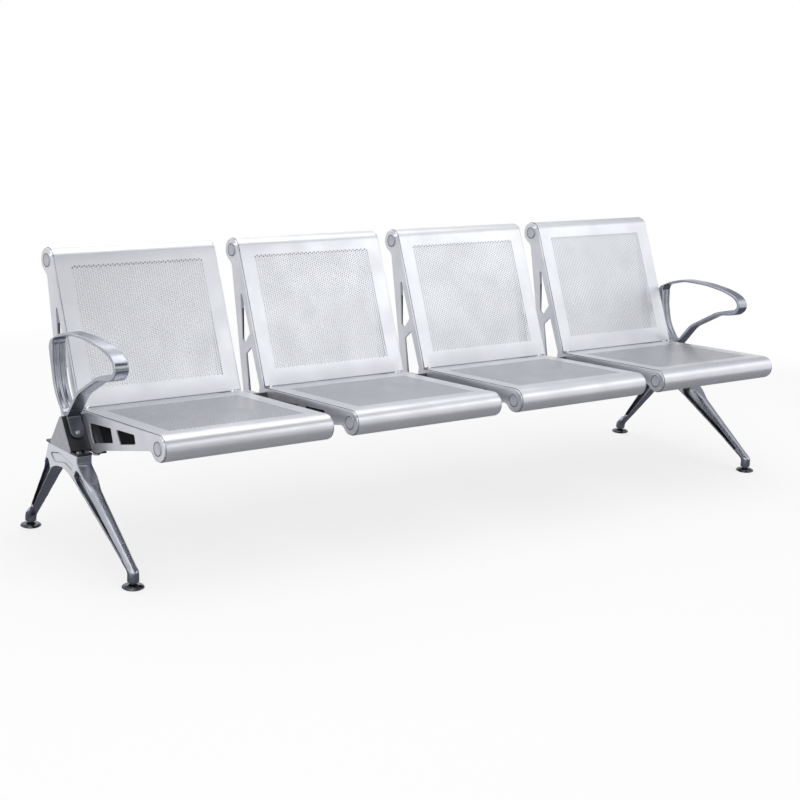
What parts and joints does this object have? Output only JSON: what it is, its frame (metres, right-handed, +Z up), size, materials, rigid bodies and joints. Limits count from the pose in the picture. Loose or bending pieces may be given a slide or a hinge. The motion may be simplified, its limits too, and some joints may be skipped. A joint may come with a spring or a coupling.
{
  "type": "beam seating",
  "caption": "Beam seating for waiting areas: perforated sheet seats on open side frames over one triangular beam, with splayed legs, loop armrests and levelling feet.",
  "frame": {"origin": "middle of the floor under the bench: centre of the bounding box in X and Y, on the floor plane", "axes": "+X along the bench towards a sitter's left, -Y towards the front of the seats, +Z up"},
  "size_m": [2.388, 0.7213, 0.7933],
  "materials": {
    "coated_sheet": "satin powder coat",
    "coated_casting": "satin powder coat",
    "dark_coat": "satin powder coat",
    "grey_plastic": "fine matt",
    "polished_casting": "polished",
    "rubber": "matt",
    "chrome": "bright",
    "zinc_steel": "bright zinc",
    "silver_plastic": "satin"
  },
  "bodies": {
    "bench": {"seat_pan_1": "coated_sheet", "back_panel_1": "coated_sheet", "side_frame_left_1": "coated_casting", "clamp_plate_left_1": "dark_coat", "side_frame_right_1": "coated_casting", "clamp_plate_right_1": "dark_coat", "seat_pan_2": "coated_sheet", "back_panel_2": "coated_sheet", "side_frame_left_2": "coated_casting", "clamp_plate_left_2": "dark_coat", "side_frame_right_2": "coated_casting", "clamp_plate_right_2": "dark_coat", "seat_pan_3": "coated_sheet", "back_panel_3": "coated_sheet", "side_frame_left_3": "coated_casting", "clamp_plate_left_3": "dark_coat", "side_frame_right_3": "coated_casting", "clamp_plate_right_3": "dark_coat", "seat_pan_4": "coated_sheet", "back_panel_4": "coated_sheet", "side_frame_left_4": "coated_casting", "clamp_plate_left_4": "dark_coat", "side_frame_right_4": "coated_casting", "clamp_plate_right_4": "dark_coat", "beam": "dark_coat", "beam_end_cap_left": "grey_plastic", "leg_plate_left": "dark_coat", "leg_left": "polished_casting", "armrest_left": "polished_casting", "beam_end_cap_right": "grey_plastic", "leg_plate_right": "dark_coat", "leg_right": "polished_casting", "armrest_right": "polished_casting", "seat_nuts": "zinc_steel", "back_nuts": "zinc_steel", "clamp_bolts": "zinc_steel", "leg_bolts": "zinc_steel", "armrest_screws": "zinc_steel", "head_caps": "silver_plastic"},
    "foot_front_left": {"foot_dome_front_left": "chrome", "foot_pad_front_left": "rubber"},
    "spindle_front_left": {"foot_spindle_front_left": "zinc_steel"},
    "foot_rear_left": {"foot_dome_rear_left": "chrome", "foot_pad_rear_left": "rubber"},
    "spindle_rear_left": {"foot_spindle_rear_left": "zinc_steel"},
    "foot_front_right": {"foot_dome_front_right": "chrome", "foot_pad_front_right": "rubber"},
    "spindle_front_right": {"foot_spindle_front_right": "zinc_steel"},
    "foot_rear_right": {"foot_dome_rear_right": "chrome", "foot_pad_rear_right": "rubber"},
    "spindle_rear_right": {"foot_spindle_rear_right": "zinc_steel"}
  },
  "joints": [
    {"name": "level_front_left", "type": "slide", "parent": "bench", "child": "foot_front_left", "axis": [0, 0, -1], "range_m": [0, 0.015]},
    {"name": "screw_front_left", "type": "hinge", "parent": "foot_front_left", "child": "spindle_front_left", "pos_m": [-1.162, -0.26182, 0.017], "axis": [0, 0, -1], "range_deg": [0, 3600]},
    {"name": "level_rear_left", "type": "slide", "parent": "bench", "child": "foot_rear_left", "axis": [0, 0, -1], "range_m": [0, 0.015]},
    {"name": "screw_rear_left", "type": "hinge", "parent": "foot_rear_left", "child": "spindle_rear_left", "pos_m": [-1.162, 0.33167, 0.017], "axis": [0, 0, -1], "range_deg": [0, 3600]},
    {"name": "level_front_right", "type": "slide", "parent": "bench", "child": "foot_front_right", "axis": [0, 0, -1], "range_m": [0, 0.015]},
    {"name": "screw_front_right", "type": "hinge", "parent": "foot_front_right", "child": "spindle_front_right", "pos_m": [1.162, -0.26182, 0.017], "axis": [0, 0, -1], "range_deg": [0, 3600]},
    {"name": "level_rear_right", "type": "slide", "parent": "bench", "child": "foot_rear_right", "axis": [0, 0, -1], "range_m": [0, 0.015]},
    {"name": "screw_rear_right", "type": "hinge", "parent": "foot_rear_right", "child": "spindle_rear_right", "pos_m": [1.162, 0.33167, 0.017], "axis": [0, 0, -1], "range_deg": [0, 3600]}
  ],
  "couplings": [
    {"joint": "screw_front_left", "follows": "level_front_left", "rad_per_m": 4188.8},
    {"joint": "screw_rear_left", "follows": "level_rear_left", "rad_per_m": 4188.8},
    {"joint": "screw_front_right", "follows": "level_front_right", "rad_per_m": 4188.8},
    {"joint": "screw_rear_right", "follows": "level_rear_right", "rad_per_m": 4188.8}
  ]
}
